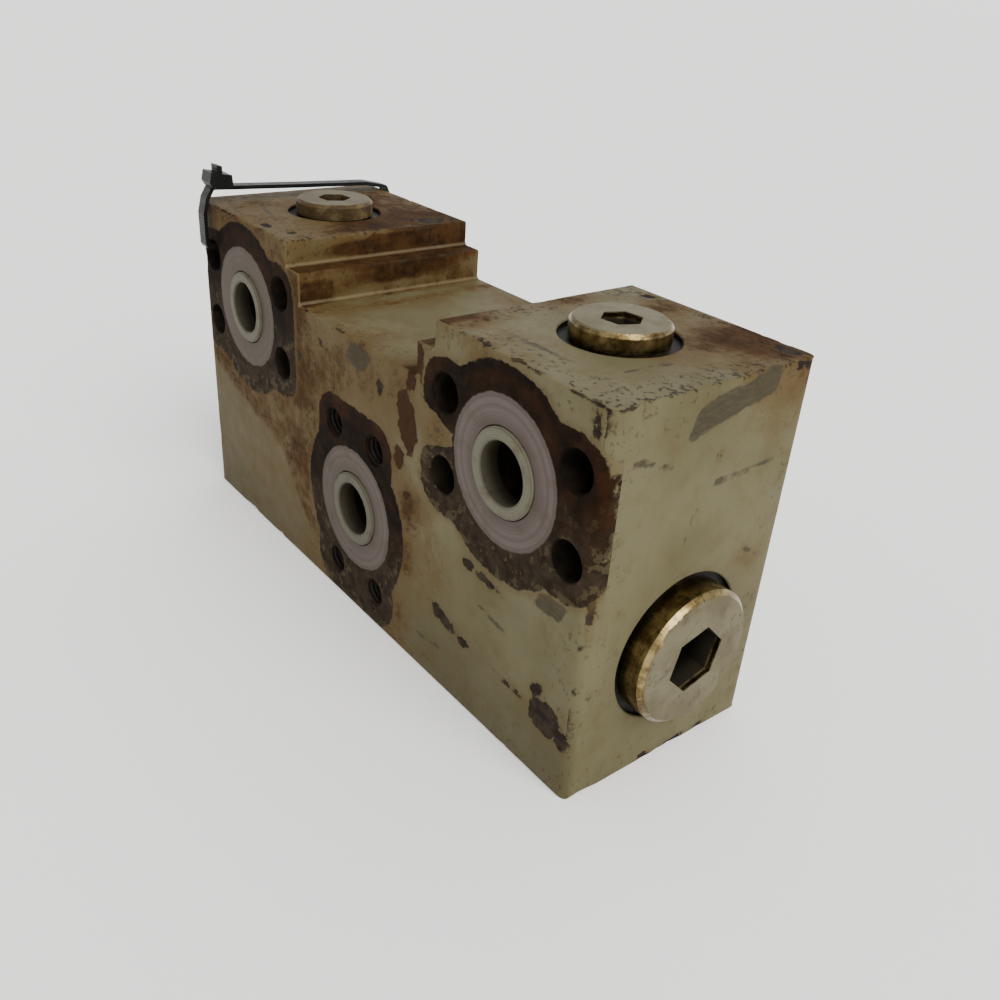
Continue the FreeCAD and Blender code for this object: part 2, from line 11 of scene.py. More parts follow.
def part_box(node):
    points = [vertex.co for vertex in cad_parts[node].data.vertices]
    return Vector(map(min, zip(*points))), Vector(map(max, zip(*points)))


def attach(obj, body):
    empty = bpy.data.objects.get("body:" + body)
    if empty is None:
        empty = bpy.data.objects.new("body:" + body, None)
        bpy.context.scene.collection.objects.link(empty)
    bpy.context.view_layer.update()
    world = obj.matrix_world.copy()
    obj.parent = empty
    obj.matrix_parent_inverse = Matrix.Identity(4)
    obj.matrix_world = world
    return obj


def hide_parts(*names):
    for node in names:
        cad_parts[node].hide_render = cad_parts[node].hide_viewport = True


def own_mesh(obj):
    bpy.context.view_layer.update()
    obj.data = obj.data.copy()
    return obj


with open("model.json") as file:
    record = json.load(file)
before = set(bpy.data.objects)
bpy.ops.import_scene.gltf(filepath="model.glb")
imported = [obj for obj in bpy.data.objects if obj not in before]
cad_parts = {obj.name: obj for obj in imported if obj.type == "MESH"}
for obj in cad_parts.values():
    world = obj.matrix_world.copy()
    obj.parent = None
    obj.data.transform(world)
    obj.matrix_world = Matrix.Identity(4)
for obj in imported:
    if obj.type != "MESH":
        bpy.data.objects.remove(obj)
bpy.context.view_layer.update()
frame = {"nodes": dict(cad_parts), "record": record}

# Everything below is worked out in millimetres and scaled to metres when a mesh is made.
MM = 0.001
STEP = 1.5             # grid spacing on the block's faces
EDGE = 0.7             # rounding of the block's machined edges
ROUND_ROWS = 5         # rows across each rounded edge
FILLET = 1.3           # fillet at the foot of the saddle's steps
THREAD_PITCH = 1.5     # M10
DRILL_SLOPE = math.atan(0.58)  # a drill point's flank, from the plane across the hole
RIM_SEGMENTS = 48
RIM_BREAK = 0.35       # broken edge round each hole
POINT_CLEAR = 0.55     # share of a grid step that inner points keep from a region's rim
SHELL_REACH = 0.85     # how far below the outer faces a point still counts as on them
GROOVE_LAND = (11, 13)  # radii between which a rim on the back belongs to a seal groove's land

low, high = (np.array(corner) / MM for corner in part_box("valve_body"))
HALF_X, HALF_Y, TOP = high[0], high[1], high[2]
CORNER = 3.5           # upright corners
SADDLE = ((41.0, 104.0), (33.0, 94.0))   # half width and height of each saddle step
record = frame["record"]
mounts = {mount["name"]: mount for mount in record["mounts"]}


def middle(node):
    """A CAD node's centre in millimetres."""
    lowest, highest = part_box(node)
    return (np.array(lowest) + np.array(highest)) / 2 / MM


def bolt_places(name):
    """Hole centres (x, z) of a bolt pattern on the port face, and the hole radius."""
    mount = mounts[name]
    x, _, z = np.array(mount["pos_m"]) / MM
    wide = mount["dims"]["spacing_x_mm"] / 2
    tall = mount["dims"]["spacing_y_mm"] / 2
    spots = [(x + i * wide, z + k * tall) for i in (-1, 1) for k in (-1, 1)]
    return spots, mount["dims"]["hole_r_mm"]


PORTS = {side: middle(f"port_ring_{side}")[[0, 2]] for side in ("left", "centre", "right")}
THROUGH, _ = bolt_places("port_right_bolts")
THROUGH += [(-x, z) for x, z in THROUGH]
TAPS, TAP_R = bolt_places("port_centre_bolts")


# ---- noise on points

def lattice(cells, seed):
    """A repeatable value from 0 to 1 for each whole-numbered cell."""
    mixed = cells[..., 0] * 73856093 ^ cells[..., 1] * 19349663 ^ cells[..., 2] * 83492791 ^ seed * 2654435761
    mixed = (mixed ^ mixed >> 13) * 1274126177 & 0x7FFFFFFF
    return ((mixed ^ mixed >> 16) & 0xFFFF) / 65535


def cloud(points, grain, seed=0):
    """Smooth value noise, 0 to 1, with features about one grain (mm) across."""
    scaled = np.asarray(points) / grain
    base = np.floor(scaled).astype(np.int64)
    part = scaled - base
    part = part * part * (3 - 2 * part)
    total = np.zeros(len(scaled))
    for corner in range(8):
        offset = np.array([corner >> axis & 1 for axis in range(3)])
        weight = np.prod(np.where(offset, part, 1 - part), axis=1)
        total += weight * lattice(base + offset, seed)
    return total


def ragged(points, grain, seed=0):
    """Three octaves of noise, centred on 0, about -1 to 1."""
    total = sum(cloud(points, grain / 2**i, seed + i) / 2**i for i in range(3))
    return total / 1.75 * 2 - 1


# ---- mesh helpers

class Sheet:
    """Loose patches of surface that are welded into one mesh."""

    def __init__(self):
        self.points, self.faces, self.kinds = [], [], []

    def add(self, points, faces, kind=0):
        start = len(self.points)
        self.points.extend(map(tuple, points))
        self.faces.extend([start + i for i in face] for face in faces)
        self.kinds.extend([kind] * len(faces))

    def grid(self, rows, closed=False, kind=0, skip=lambda i, j: False):
        """Quads between rows of points. Rows all have the same number of points."""
        height, width = len(rows), len(rows[0])
        faces = []
        for j in range(height - 1):
            for i in range(width if closed else width - 1):
                following = (i + 1) % width
                here, after = j * width, (j + 1) * width
                if not skip(i, j):
                    faces.append((here + i, here + following, after + following, after + i))
        self.add([point for row in rows for point in row], faces, kind)

    def weld(self, name, materials, sharp=0.6):
        """A mesh object, with shared points merged and its normals outward."""
        mesh = bpy.data.meshes.new(name)
        mesh.from_pydata(self.points, [], self.faces)
        mesh.polygons.foreach_set("material_index", self.kinds)
        work = bmesh.new()
        work.from_mesh(mesh)
        bmesh.ops.remove_doubles(work, verts=work.verts, dist=0.004)
        bmesh.ops.delete(work, geom=[vert for vert in work.verts if not vert.link_faces], context="VERTS")
        bmesh.ops.recalc_face_normals(work, faces=work.faces)
        for edge in work.edges:
            folded = len(edge.link_faces) != 2 or edge.calc_face_angle(0) > sharp
            edge.smooth = not folded
        for face in work.faces:
            face.smooth = True
        work.to_mesh(mesh)
        work.free()
        for material in materials:
            mesh.materials.append(material)
        made = bpy.data.objects.new(name, mesh)
        bpy.context.scene.collection.objects.link(made)
        return made


def to_metres(made):
    made.data.transform(Matrix.Scale(MM, 4))
    made.data.update()
    return made


def enclosed(loops, points):
    """True for each 2-D point that an odd number of the closed loops goes round."""
    points = np.asarray(points)
    odd = np.zeros(len(points), bool)
    for loop in loops:
        for (u0, v0), (u1, v1) in zip(loop, np.roll(loop, -1, axis=0)):
            if v0 != v1:
                spans = (v0 > points[:, 1]) != (v1 > points[:, 1])
                odd ^= spans & (points[:, 0] < u0 + (points[:, 1] - v0) * (u1 - u0) / (v1 - v0))
    return odd


def fill_plane(sheet, loops, inner, lift, kind=0):
    """Triangulate a flat region with holes; lift turns its 2-D points into 3-D ones."""
    flat, edges = [], []
    for loop in loops:
        start = len(flat)
        flat.extend(Vector(point) for point in loop)
        edges.extend((start + i, start + (i + 1) % len(loop)) for i in range(len(loop)))
    rims = np.array(flat)
    inner = np.array(inner)
    inner = inner[enclosed(loops, inner)]
    gaps = [np.hypot(*(rims - point).T).min() for point in inner]
    flat.extend(Vector(point) for point, gap in zip(inner, gaps) if gap > POINT_CLEAR * STEP)
    out, _, faces, *_ = delaunay_2d_cdt(flat, edges, [], 0, 1e-5)
    places = np.array(out)
    corners = np.array([places[list(face)] for face in faces])
    first, second = corners[:, 1] - corners[:, 0], corners[:, 2] - corners[:, 0]
    area = abs(first[:, 0] * second[:, 1] - first[:, 1] * second[:, 0]) / 2
    kept = enclosed(loops, corners.mean(1)) & (area > 1e-4)
    sheet.add([lift(*point) for point in places], [face for face, good in zip(faces, kept) if good], kind)


def circle(x, z, radius, count):
    turn = 2 * math.pi / count
    return [(x + radius * math.cos(i * turn), z + radius * math.sin(i * turn)) for i in range(count)]


# ---- the block's shell

def profile_corners():
    """Corners of the front outline, anticlockwise, seen from the port face."""
    (wide, upper), (narrow, floor) = SADDLE
    right = [(HALF_X, 0), (HALF_X, TOP), (wide, TOP), (wide, upper), (narrow, upper), (narrow, floor)]
    return right + [(-x, z) for x, z in reversed(right)]


def corner_samples(before, after):
    """Outward offsets and edge depths round a convex corner of the outline."""
    (normal, depth), (next_normal, next_depth) = before, after
    quarter = [math.pi / 2 * k / ROUND_ROWS for k in range(ROUND_ROWS + 1)]
    if depth == next_depth:
        return [((normal * math.cos(a) + next_normal * math.sin(a)) * depth, depth) for a in quarter]
    narrow, wide = (normal, next_normal) if depth == EDGE else (next_normal, normal)
    run = CORNER - EDGE
    reach = [(EDGE, run * k / 4) for k in range(4)]
    reach += [(EDGE * math.cos(a), run + EDGE * math.sin(a)) for a in quarter]
    made = []
    for narrow_part, wide_part in reach:
        share = wide_part / CORNER
        deep = EDGE * (1 - share**2) + CORNER * (1 - math.sqrt(max(0, 1 - share**2)))
        made.append((narrow * narrow_part + wide * wide_part, deep))
    return made if depth == EDGE else made[::-1]


def ring_samples():
    """Points round the outline: inset point, outward offset to the side face, and edge depth."""
    corners = [np.array(corner, float) for corner in profile_corners()]
    count = len(corners)
    sides = []
    for i, corner in enumerate(corners):
        along = corners[(i + 1) % count] - corner
        along /= np.linalg.norm(along)
        outward = np.array([along[1], -along[0]])
        on_end = abs(outward[0]) > 0.5 and abs(abs(corner[0]) - HALF_X) < 0.01
        sides.append((along, outward, CORNER if on_end else EDGE))

    def convex(i):
        first, second = sides[i - 1][0], sides[i % count][0]
        return first[0] * second[1] - first[1] * second[0] > 0

    samples = []
    for i, corner in enumerate(corners):
        before, after = sides[i - 1], sides[i]
        if convex(i):
            inset = corner - before[1] * before[2] - after[1] * after[2]
            samples += [(inset, offset, depth) for offset, depth in corner_samples(before[1:], after[1:])]
        else:
            for k in range(ROUND_ROWS + 1):
                angle = math.pi / 2 * k / ROUND_ROWS
                normal = before[1] * math.cos(angle) + after[1] * math.sin(angle)
                side = corner + (before[1] + after[1] - normal) * FILLET
                samples.append((side - normal * EDGE, normal * EDGE, EDGE))
        start = samples[-1][0] + samples[-1][1]
        following = sides[(i + 1) % count]
        end = corners[(i + 1) % count] - after[0] * (following[2] if convex(i + 1) else FILLET)
        pieces = max(1, round(np.linalg.norm(end - start) / STEP))
        for k in range(1, pieces):
            side = start + (end - start) * k / pieces
            samples.append((side - after[1] * after[2], after[1] * after[2], after[2]))
    return samples


def find_rims(work):
    """Closed loops of open edges left in the CAD surface, each an ordered list of points."""
    open_edges = {edge for edge in work.edges if len(edge.link_faces) == 1}
    loops = []
    for start in work.edges:
        if start not in open_edges:
            continue
        edge = start
        open_edges.discard(edge)
        first, vert = edge.verts
        loop = [first]
        while vert is not first:
            loop.append(vert)
            edge = next(e for e in vert.link_edges if e in open_edges)
            open_edges.discard(edge)
            vert = edge.other_vert(vert)
        loops.append(loop)
    return loops


def on_shell(point):
    """True on the block's outer faces, its rounded corners and its saddle."""
    x, y, z = abs(point[0]), abs(point[1]), point[2]
    flat = y > HALF_Y - SHELL_REACH or x > HALF_X - SHELL_REACH or not SHELL_REACH <= z <= TOP - SHELL_REACH
    corner = x > HALF_X - CORNER - SHELL_REACH and y > HALF_Y - CORNER - SHELL_REACH
    saddle = x < SADDLE[0][0] + 0.01 and z > SADDLE[1][1] - 0.01
    return flat or corner or saddle


def cad_insides():
    """The CAD block's bores, recesses and spot faces in millimetres, without its outer faces and taps."""
    work = bmesh.new()
    work.from_mesh(frame["nodes"]["valve_body"].data)
    bmesh.ops.scale(work, vec=Vector((1, 1, 1)) / MM, verts=work.verts)
    bmesh.ops.remove_doubles(work, verts=work.verts, dist=0.002)

    def dropped(face):
        centre = face.calc_center_median()
        if on_shell(centre) and all(on_shell(vert.co) for vert in face.verts):
            return True
        return centre.y < 0 and any(math.hypot(centre.x - x, centre.z - z) < TAP_R + 0.3 for x, z in TAPS)

    bmesh.ops.delete(work, geom=[face for face in work.faces if dropped(face)], context="FACES")
    return work


def face_of(centre):
    """Which outer face a rim lies on, and that face's outward normal."""
    if abs(centre[1]) > HALF_Y - 0.1:
        return ("front", (0, -1, 0)) if centre[1] < 0 else ("back", (0, 1, 0))
    if abs(centre[0]) > HALF_X - 0.1:
        return ("right", (1, 0, 0)) if centre[0] > 0 else ("left", (-1, 0, 0))
    return ("top_right" if centre[0] > 0 else "top_left"), (0, 0, 1)


def add_insides(sheet):
    """Carry the CAD bores over, break their rims, and return the rims on each outer face."""
    rims = {"front": [], "back": [], "right": [], "left": [], "top_right": [], "top_left": []}
    work = cad_insides()
    for loop in find_rims(work):
        spots = np.array([vert.co for vert in loop])
        centre = (spots.min(0) + spots.max(0)) / 2
        radius = np.linalg.norm(spots - centre, axis=1).mean()
        name, normal = face_of(centre)
        groove_land = name == "back" and GROOVE_LAND[0] < radius < GROOVE_LAND[1]
        outer = spots + (spots - centre) / radius * (-RIM_BREAK if groove_land else RIM_BREAK)
        inner = spots - np.array(normal) * RIM_BREAK
        for vert, moved in zip(loop, inner):
            vert.co = moved
        sheet.grid([list(outer), list(inner)], closed=True)
        rims[name].append(outer)
    work.verts.index_update()
    faces = [[vert.index for vert in face.verts] for face in work.faces]
    sheet.add([tuple(vert.co) for vert in work.verts], faces, 1)
    work.free()
    return rims


def add_tap(sheet, x, z):
    """A tapped hole with a helical thread and a drill point; returns its rim."""
    deep, countersink, crest, run_out = 21.0, 0.75, 0.55, 3
    mouth = TAP_R + countersink
    rim = [(px, -HALF_Y, pz) for px, pz in circle(x, z, mouth, RIM_SEGMENTS)]
    rows = []
    depth = countersink
    while depth < deep:
        row = []
        for i in range(RIM_SEGMENTS):
            angle = 2 * math.pi * i / RIM_SEGMENTS
            phase = (depth / THREAD_PITCH - i / RIM_SEGMENTS) % 1
            radius = TAP_R + crest * (1 - abs(2 * phase - 1)) * min(1, (deep - depth) / run_out)
            row.append((x + radius * math.cos(angle), -HALF_Y + depth, z + radius * math.sin(angle)))
        rows.append(row)
        depth += THREAD_PITCH / 6
    tip = -HALF_Y + deep + TAP_R * math.tan(DRILL_SLOPE)
    sheet.grid([rim, rows[0]], closed=True)
    sheet.grid(rows + [[(x, tip, z)] * RIM_SEGMENTS], closed=True, kind=1)
    return np.array(rim)


def add_band(sheet, samples, rims):
    """The surface round the outline with its rounded edges, open where the plugs go in."""
    insets = np.array([inset for inset, _, _ in samples])
    offsets = np.array([offset for _, offset, _ in samples])
    depths = np.array([depth for _, _, depth in samples])

    def row(share, down):
        """One row of points: share of the way out to the side face, down from the port face."""
        flat = insets + offsets * share
        return np.column_stack([flat[:, 0], down, flat[:, 1]])

    rows = []
    for k in range(ROUND_ROWS + 1):
        angle = math.pi / 2 * (1 - k / ROUND_ROWS)
        rows.append(row(math.cos(angle), depths * (1 - math.sin(angle)) - HALF_Y))
    across = round(2 * HALF_Y / STEP)
    rows += [row(1, (2 * j / across - 1) * (HALF_Y - depths)) for j in range(1, across)]
    rows += [line * (1, -1, 1) for line in reversed(rows[: ROUND_ROWS + 1])]
    places = np.array(rows)

    opened = {}
    for name in ("right", "left", "top_right", "top_left"):
        spots = rims[name][0]
        axis, off = (2, 0) if name in ("right", "left") else (0, 2)
        centre, reach = (spots.min(0) + spots.max(0)) / 2, np.ptp(spots[:, 1]) / 2 + 1.2 * STEP
        near = (abs(places[:, :, off] - centre[off]) < 0.01) & (abs(places[:, :, 1]) < reach)
        lines, columns = np.nonzero(near & (abs(places[:, :, axis] - centre[axis]) < reach))
        opened[name] = (lines.min(), lines.max(), columns.min(), columns.max(), axis, off)

    def skip(i, j):
        return any(j0 <= j < j1 and i0 <= i < i1 for j0, j1, i0, i1, _, _ in opened.values())

    sheet.grid(rows, closed=True, skip=skip)
    for name, (j0, j1, i0, i1, axis, off) in opened.items():
        border = [(j, i0) for j in range(j0, j1)] + [(j1, i) for i in range(i0, i1)]
        border += [(j, i1) for j in range(j1, j0, -1)] + [(j0, i) for i in range(i1, i0, -1)]
        outer = np.array([(places[j, i, axis], places[j, i, 1]) for j, i in border])
        inner = places[j0 + 1 : j1, i0 + 1 : i1][:, :, [axis, 1]].reshape(-1, 2)
        level = places[j0, i0, off]

        def lift(u, v):
            return (level, v, u) if off == 0 else (u, v, level)

        fill_plane(sheet, [outer, rims[name][0][:, [axis, 1]]], inner, lift)


def add_flats(sheet, samples, rims):
    """The port face and the back face, with an even net of points for the surface detail."""
    outline = [tuple(inset) for inset, _, _ in samples]
    outline = np.array([point for i, point in enumerate(outline) if math.dist(point, outline[i - 1]) > 1e-6])
    across, up = round(HALF_X / STEP), round(TOP / STEP)
    net = [((i + 0.5 * (k % 2)) * STEP, k * STEP) for i in range(-across, across + 1) for k in range(up + 1)]
    for name, y in (("front", -HALF_Y), ("back", HALF_Y)):
        loops = [outline] + [loop[:, [0, 2]] for loop in rims[name]]
        fill_plane(sheet, loops, net, lambda u, v: (u, y, v))


def build_block(paint, bore):
    sheet = Sheet()
    rims = add_insides(sheet)
    for x, z in TAPS:
        rims["front"].append(add_tap(sheet, x, z))
    samples = ring_samples()
    add_band(sheet, samples, rims)
    add_flats(sheet, samples, rims)
    return sheet.weld("block_shell", [paint, bore])


# ---- springs

SPRING_SIDES = 14       # points round the wire
SPRING_STEPS = 40       # points along each turn
SPRING_TURNS = 6
SPRING_GROUND = 0.3     # share of the wire left at each ground end
SPRING_CLOSED = 1.05    # climb of the first and last turn, in wires
CHECK_WIRE, CHECK_LIFT = 1.5, 5
MAIN_WIRE, SPOOL_STROKE = 2.2, 6


def add_spring(node, along, wire, fixed_end, material):
    """A coil with closed, ground ends in place of the CAD's plain helix."""
    box = np.array([list(corner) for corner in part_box(node)]) / MM
    across = [axis for axis in range(3) if axis != along]
    centre, length = box.mean(axis=0), box[1, along] - box[0, along]
    radius = (box[1, across[0]] - box[0, across[0]] - wire) / 2
    turn = np.linspace(0, SPRING_TURNS, SPRING_TURNS * SPRING_STEPS + 1)
    low, high, climb = SPRING_GROUND * wire, length - SPRING_GROUND * wire, SPRING_CLOSED * wire
    rise = np.interp(turn, [0, 1, SPRING_TURNS - 1, SPRING_TURNS], [low, low + climb, high - climb, high])
    around = np.linspace(0, 2 * math.pi, SPRING_SIDES, endpoint=False)
    sheet, rows = Sheet(), []
    for angle, height in zip(2 * math.pi * turn, rise):
        out = radius + np.cos(around) * wire / 2
        ring = np.zeros((SPRING_SIDES, 3))
        ring[:, across[0]] = centre[across[0]] + out * math.cos(angle)
        ring[:, across[1]] = centre[across[1]] + out * math.sin(angle)
        ring[:, along] = box[0, along] + np.clip(height + np.sin(around) * wire / 2, 0, length)
        rows.append(ring)
    sheet.grid(rows, closed=True)
    for row in (rows[0], rows[-1]):
        sheet.add(row, [list(range(SPRING_SIDES))])
    spring = sheet.weld(node + "_coil", [material])
    to_metres(spring)
    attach(spring, "block")
    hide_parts(node)
    axis, anchor = [0.0] * 3, list(centre * MM)
    axis[along] = 1.0
    anchor[along] = float(box[fixed_end, along] * MM)
    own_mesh(spring)
    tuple(axis)
    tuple(anchor)


# ---- wear laid over the block

# Marks on each face: centre across and up the face, half width, half height (mm), tilt in degrees.
CHIPS = {
    "front": [
        (29, 79, 4.6, 9.5, 12), (25, 66, 2.6, 3.4, 0), (31, 92, 2.2, 4, -20), (35, 99, 1.8, 6, 0),
        (61, 49, 2.5, 1.6, 10), (69, 48, 5, 1.3, -8), (50, 25, 6, 2.2, -14), (60, 22.5, 3.6, 1.2, 6),
        (83, 21.5, 5, 0.7, -4), (96, 21, 6.2, 5.4, 15), (103, 18, 2.6, 3.2, 0), (92, 28, 2.6, 1.6, 40),
        (102, 107, 1.4, 2.8, 0), (38, 66, 2.4, 1.4, 0), (30, 56, 2.2, 1.2, 30), (15, 84, 1.4, 2.6, 0),
        (-20, 86, 2.2, 1.2, 0), (-34, 78, 1.3, 2.5, 0),
    ],
    "end": [
        (2.8, 92.4, 1.1, 1.3, 0), (-6, 1, 2.4, 1.2, 0), (6, 0.6, 4, 1.3, 0), (17, 0.8, 2.4, 1.2, 0),
        (-33.5, 63, 0.7, 5, 0), (30, 110.5, 3, 1.1, 0),
    ],
    "top": [
        (100, 31, 4, 2.4, -10), (60, -33.8, 3, 0.9, 0), (75, -34, 4.5, 0.8, 0), (52, 31, 2.4, 1.4, 20),
        (-50, -28, 2, 1.4, 0), (-88, 22, 3, 2.2, 30), (-47, 24, 4, 5, 0), (-62, -31, 3, 1.6, 0),
    ],
    "back": [
        (-20, 60, 6, 3, 20), (40, 20, 4, 2.4, -10), (-60, 25, 2.4, 4, 0), (20, 85, 4, 1.6, 0),
        (95, 55, 2, 3, 0),
    ],
    "far": [
        (-10, 84, 5, 3, 15), (18, 20, 3, 4, 0), (-25, 60, 1.6, 5, 0),
    ],
}
SCUFFS = {
    "end": [
        (6, 106.2, 15, 3.6, 12), (14, 85.5, 11, 0.5, 3), (25, 58, 6, 0.4, -32), (-4, 74, 0.4, 5, 8),
        (-20, 96, 7, 0.5, -20), (20, 22, 0.5, 6, 30),
    ],
    "front": [
        (3, 89, 5.5, 3.6, -10), (94, 55, 5, 2.6, 0), (-5, 20, 8, 0.6, -25), (40, 12, 10, 0.5, 8),
        (72, 38, 6, 0.5, -12),
    ],
    "top": [
        (70, -24, 12, 0.5, 4), (92, -10, 0.6, 7, 20), (-80, -22, 8, 0.6, -12),
    ],
    "far": [
        (8, 104, 9, 2.4, -8),
    ],
    "back": [
        (60, 100, 12, 0.7, -10), (-30, 20, 9, 0.6, 25),
    ],
}
# Soft stains: centre across and up the face, reach (mm), strength. Weak ones are dirt, strong ones rust.
STAINS = {
    "front": [
        (-95, 40, 85, 0.26), (0, 40, 60, 0.16), (-60, 52, 20, 0.35), (-38, 80, 20, 0.6),
        (2, 88, 13, 0.62), (-14, 78, 12, 0.5), (-92, 60, 14, 0.3), (-38, 54, 15, 0.35),
        (-50, 100, 16, 0.5), (-72, 109, 16, 0.35), (-16, 64, 14, 0.45), (16, 62, 11, 0.4),
        (26, 92, 11, 0.4), (20, 80, 11, 0.3), (43, 84, 9, 0.4), (60, 107, 9, 0.45), (97, 76, 9, 0.4),
        (-20, 12, 14, 0.25), (43, 83, 7, 0.45), (33, 52, 8, 0.75), (28, 36, 9, 0.65), (20, 12, 12, 0.5),
        (44, 46, 7, 0.35), (-30, 50, 16, 0.4),
    ],
    "top": [
        (70, -28, 30, 0.2), (64, 22, 22, 0.35), (-52, 24, 30, 0.9), (-46, -4, 17, 0.7),
        (-90, 22, 20, 0.55), (-92, -24, 14, 0.35), (98, 31, 19, 0.85), (84, 32, 14, 0.6),
        (60, 34, 12, 0.4), (88, 16, 8, 0.3), (46, -30, 12, 0.35), (45, 10, 9, 0.4), (88, 6, 11, 0.45),
        (102, 12, 13, 0.5), (62, 24, 9, 0.45), (-70, -14, 20, 0.45),
    ],
    "end": [
        (33, 8, 9, 0.3), (22, 56, 7, 0.25), (-22, 22, 6, 0.25),
    ],
    "far": [
        (5, 40, 28, 0.6), (-20, 95, 22, 0.55),
    ],
    "back": [
        (-20, 40, 38, 0.6), (72, 60, 30, 0.4), (-80, 95, 24, 0.7),
    ],
    "saddle": [(-30, 20, 11, 0.55), (-24, -10, 9, 0.35), (0, 34, 14, 0.4)],
    "step": [(-36, 0, 12, 0.7), (36, 10, 8, 0.5)],
    "base": [(0, 0, 60, 0.5)],
}
# Lower edge of the stain that ran down from the left port: x, then z.
RUN_EDGE = ((-107, -50, -28), (52.5, 37, 11))
DISC_R = 20.6          # bare ring that a flange head seals on
CLAMP_R = 28.6         # mark left by each pair of clamp halves
LOBE_R = 9.8           # the mark's rounding about each bolt
CLAMP_GAP = 1.6        # paint left between the two clamp halves, widening outward
SCUFF_LEAN = 0.45      # slant of a scuff's ends
CHIP_DEPTH = 0.16      # the paint's thickness
KNOCK_DEPTH = 0.55     # deepest dent on an edge


def smooth(value, low, high):
    share = np.clip((value - low) / (high - low), 0, 1)
    return share * share * (3 - 2 * share)


def rounded_box(u, v, half_u, half_v, radius):
    """Signed distance from a rounded rectangle about the origin, negative inside."""
    du, dv = abs(u) - half_u + radius, abs(v) - half_v + radius
    return np.hypot(np.maximum(du, 0), np.maximum(dv, 0)) + np.minimum(np.maximum(du, dv), 0) - radius


def clamp_mark(x, z):
    """Signed distance (mm) from the marks that the split flange clamps left on the port face."""
    best = np.full(len(x), 50.0)
    for side, (px, pz) in PORTS.items():
        u, v = x - px, z - pz
        spread = mounts["port_centre_bolts" if side == "centre" else "port_right_bolts"]["dims"]
        half_u, half_v = spread["spacing_x_mm"] / 2 + LOBE_R, spread["spacing_y_mm"] / 2 + LOBE_R
        mark = np.minimum(np.hypot(u, v) - CLAMP_R, rounded_box(u, v, half_u, half_v, LOBE_R))
        if side == "right":
            mark = np.where(u < -DISC_R, np.maximum(mark, CLAMP_GAP - abs(v) - 0.35 * (u + DISC_R)), mark)
        best = np.minimum(best, mark - smooth(v, -8, -24) * 1.8)
    return best


def outline_gap(x, z):
    """Distance (mm) from each (x, z) to the block's outline."""
    corners = np.array(profile_corners(), float)
    best = np.full(len(x), 99.0)
    points = np.column_stack([x, z])
    for start, end in zip(corners, np.roll(corners, -1, axis=0)):
        run = end - start
        share = np.clip(((points - start) @ run) / (run @ run), 0, 1)
        best = np.minimum(best, np.hypot(*(points - start - share[:, None] * run).T))
    return best


def wear_maps(points):
    """Per-point wear of the block: distances in mm and stain strength."""
    x, y, z = points.T
    front, back = y < -HALF_Y + 0.05, y > HALF_Y - 0.05
    near_front = y < -HALF_Y + 6
    port = np.min([np.hypot(x - px, z - pz) for px, pz in PORTS.values()], axis=0)
    behind = np.hypot(abs(x) - PORTS["right"][0], z - PORTS["right"][1])
    maps = {"port": np.where(near_front, port, np.where(back, behind + 1.5, 60))}
    maps["clamp"] = np.where(near_front, clamp_mark(x, z), 50)
    maps["rise"] = z - np.where(abs(x) < PORTS["right"][0] / 2, PORTS["centre"][1], PORTS["right"][1])

    (wide, upper), (narrow, floor) = SADDLE
    outer = np.array([(HALF_X, 0), (HALF_X, TOP), (wide, TOP), (narrow, upper)], float)
    foot = np.array([(wide, upper), (narrow, floor)], float)
    ridge = np.min([np.hypot(abs(x) - cx, z - cz) for cx, cz in outer], axis=0)
    maps["crevice"] = np.min([np.hypot(abs(x) - cx, z - cz) for cx, cz in foot], axis=0)
    flat = front | back
    maps["edge"] = np.where(flat, outline_gap(x, z), np.minimum(ridge, HALF_Y - abs(y)))

    # For each face: which points lie there, their places across and up, and their depth from it.
    faces = {
        "front": (near_front, x, z, y + HALF_Y), "back": (y > HALF_Y - 2, x, z, y - HALF_Y),
        "end": (x > HALF_X - 2, y, z, x - HALF_X), "far": (x < -HALF_X + 2, y, z, x + HALF_X),
        "top": (z > TOP - 2, x, y, z - TOP), "base": (z < 2, x, y, z),
        "saddle": (z < TOP, x, y, z - floor), "step": (z < TOP, x, y, z - upper + 3),
    }

    def each(marks):
        return ((*faces[face], mark) for face, listed in marks.items() for mark in listed)

    for name, marks in (("chip", CHIPS), ("scuff", SCUFFS)):
        nearest = np.full(len(x), 30.0)
        for here, u, v, _, (across, up, half_across, half_up, tilt) in each(marks):
            turn, u, v = math.radians(tilt), u - across, v - up
            along, aside = u * math.cos(turn) + v * math.sin(turn), v * math.cos(turn) - u * math.sin(turn)
            thin = min(half_across, half_up)
            if name == "scuff":
                gap = rounded_box(along - SCUFF_LEAN * aside, aside, half_across, half_up, thin / 2)
            else:
                gap = (np.hypot(along / half_across, aside / half_up) - 1) * thin
            nearest = np.where(here, np.minimum(nearest, gap), nearest)
        maps[name] = nearest

    stain = np.zeros(len(x))
    for _, u, v, depth, (across, up, reach, strength) in each(STAINS):
        near = np.exp(-(((u - across) ** 2 + (v - up) ** 2 + depth**2) / reach**2))
        stain = stain + strength * near * (1 - stain)
    run = smooth(z - np.interp(x, *RUN_EDGE), -1.5, 2.5) * smooth(x, -14, -34) * front
    stain = stain + 0.5 * run * (1 - stain)
    streaks = (0.25 + ragged(points * (0.7, 0.14, 1.3), 5, 31)) * smooth(maps["crevice"], 15, 6)
    stain = np.where(front, np.minimum(stain, 0.74), stain)
    maps["stain"] = stain + np.where(abs(y) < HALF_Y - 0.5, 0.85 * streaks, 0)
    return maps


